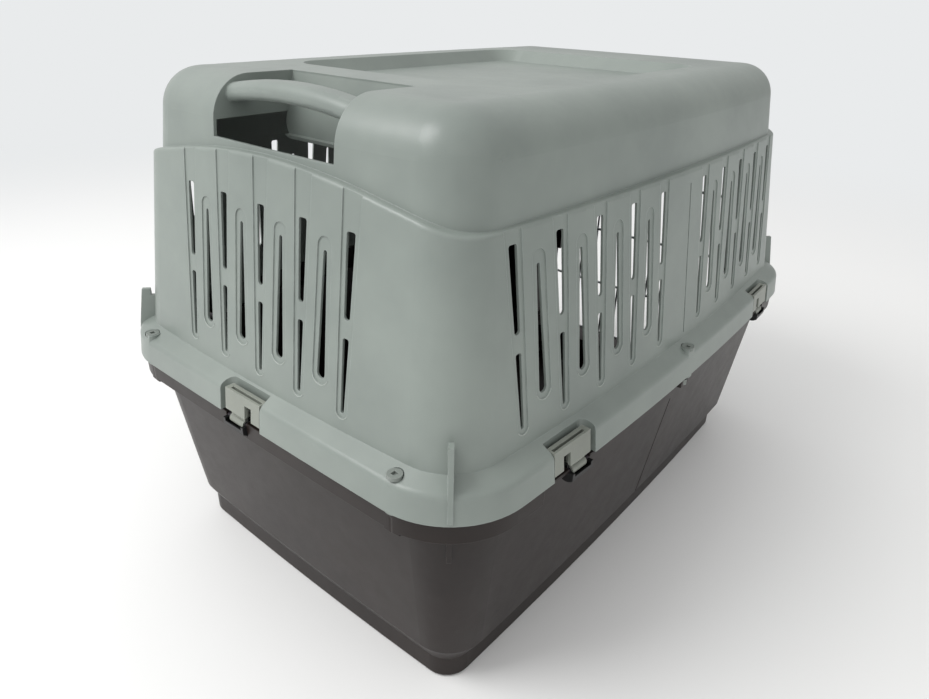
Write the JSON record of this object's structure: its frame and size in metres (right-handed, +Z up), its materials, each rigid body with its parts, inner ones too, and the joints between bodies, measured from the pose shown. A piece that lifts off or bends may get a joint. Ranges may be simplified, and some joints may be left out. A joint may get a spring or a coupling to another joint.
{
  "type": "pet carrier",
  "caption": "Hard pet carrier of two clipped and bolted moulded shells with slotted vents, end grip, roof tray, wire door with sprung bolts, and swinging rim clips.",
  "frame": {"origin": "centre of the footprint, on the surface that the carrier stands on", "axes": "+Z up, +Y along the length towards the end with the grip, +X across; the wire door is at -Y"},
  "size_m": [0.507, 0.715, 0.503],
  "materials": {
    "upper_plastic": "grey-green moulded plastic, fine grain",
    "lower_plastic": "dark brown moulded plastic, satin",
    "clip_plastic": "grey-green moulded plastic",
    "cradle_plastic": "black plastic",
    "pin_plastic": "dark plastic rod",
    "bolt_plastic": "grey plastic",
    "door_wire": "bright plated welded wire",
    "bolt_steel": "plated rod",
    "spring_steel": "spring wire",
    "screw_steel": "plated screw",
    "latch_plastic": "dark brown plastic"
  },
  "bodies": {
    "carrier": {"upper_shell": "upper_plastic", "lower_shell": "lower_plastic", "end_cradle": "cradle_plastic", "left_front_cradle": "cradle_plastic", "right_front_cradle": "cradle_plastic", "left_rear_cradle": "cradle_plastic", "right_rear_cradle": "cradle_plastic", "clip_pins": "pin_plastic", "rim_bolts": "bolt_plastic", "rim_nuts": "bolt_plastic"},
    "door": {"door_grille": "door_wire", "latch_case": "latch_plastic", "latch_back": "latch_plastic", "latch_screws": "screw_steel", "upper_guide": "latch_plastic", "lower_guide": "latch_plastic", "latch_spring": "spring_steel"},
    "upper_bolt": {"upper_rod": "bolt_steel", "upper_knob": "latch_plastic"},
    "lower_bolt": {"lower_rod": "bolt_steel", "lower_knob": "latch_plastic"},
    "end_lever": {"end_clip": "clip_plastic"},
    "left_front_lever": {"left_front_clip": "clip_plastic"},
    "right_front_lever": {"right_front_clip": "clip_plastic"},
    "left_rear_lever": {"left_rear_clip": "clip_plastic"},
    "right_rear_lever": {"right_rear_clip": "clip_plastic"}
  },
  "joints": [
    {"name": "door_hinge", "type": "hinge", "parent": "carrier", "child": "door", "pos_m": [-0.141, -0.336, 0.238], "axis": [0, 0, -1], "range_deg": [0, 110]},
    {"name": "upper_bolt_slide", "type": "slide", "parent": "door", "child": "upper_bolt", "axis": [0, 0, 1], "range_m": [0, 0.008]},
    {"name": "lower_bolt_slide", "type": "slide", "parent": "door", "child": "lower_bolt", "axis": [0, 0, -1], "range_m": [0, 0.008]},
    {"name": "end_clip_hinge", "type": "hinge", "parent": "carrier", "child": "end_lever", "pos_m": [0.007, 0.3505, 0.218], "axis": [-1, 0, 0], "range_deg": [0, 85]},
    {"name": "left_front_clip_hinge", "type": "hinge", "parent": "carrier", "child": "left_front_lever", "pos_m": [-0.24131, -0.21767, 0.218], "axis": [0.0477, -0.9989, 0], "range_deg": [0, 85]},
    {"name": "right_front_clip_hinge", "type": "hinge", "parent": "carrier", "child": "right_front_lever", "pos_m": [0.24131, -0.21767, 0.218], "axis": [0.0477, 0.9989, 0], "range_deg": [0, 85]},
    {"name": "left_rear_clip_hinge", "type": "hinge", "parent": "carrier", "child": "left_rear_lever", "pos_m": [-0.24131, 0.21767, 0.218], "axis": [-0.0477, -0.9989, 0], "range_deg": [0, 85]},
    {"name": "right_rear_clip_hinge", "type": "hinge", "parent": "carrier", "child": "right_rear_lever", "pos_m": [0.24131, 0.21767, 0.218], "axis": [-0.0477, 0.9989, 0], "range_deg": [0, 85]}
  ]
}
